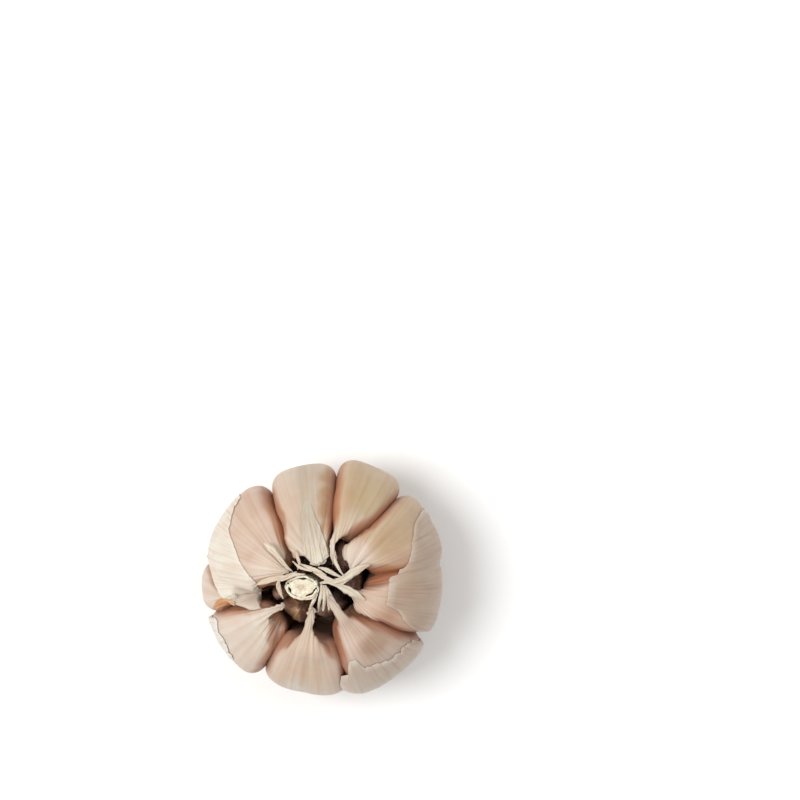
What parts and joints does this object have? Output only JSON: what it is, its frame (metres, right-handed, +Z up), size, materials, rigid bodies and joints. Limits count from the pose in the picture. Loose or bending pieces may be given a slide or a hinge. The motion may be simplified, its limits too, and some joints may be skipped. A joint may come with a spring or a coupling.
{
  "type": "garlic bulb",
  "caption": "Partly peeled garlic bulb: plump cloves packed round a short cut stem on a flat root plate, with torn papery outer skins.",
  "frame": {"origin": "middle of the flat underside of the root plate, below the middle of the bulb seen from above", "axes": "+Z up from the root plate through the neck, +Y towards the clove named clove_top, +X towards the clove named clove_right"},
  "size_m": [0.0612, 0.0591, 0.0398],
  "materials": {
    "clove_skin": "thin dry clove skin, pale pinkish beige, satin with fine lengthwise veins",
    "outer_skin": "dry papery bulb skin, greyish white, silky with fine veins",
    "stem": "cut dry stalk, cream, matt and fibrous",
    "root": "dry corky root plate, light brown, matt"
  },
  "bodies": {
    "root": {"root_plate": "root", "central_stem": "stem", "clove_top": "clove_skin", "clove_top_right": "clove_skin", "clove_right_upper": "clove_skin", "clove_right": "clove_skin", "clove_lower_right": "clove_skin", "clove_bottom": "clove_skin", "clove_lower_left": "clove_skin", "clove_side": "clove_skin", "clove_left": "clove_skin", "clove_inner_right": "clove_skin", "clove_inner_east": "clove_skin", "clove_inner_south": "clove_skin", "clove_inner_lower": "clove_skin", "clove_inner_left": "clove_skin", "skin_left": "outer_skin", "skin_right": "outer_skin", "skin_lower_right": "outer_skin", "skin_lower_left": "outer_skin"}
  },
  "joints": []
}
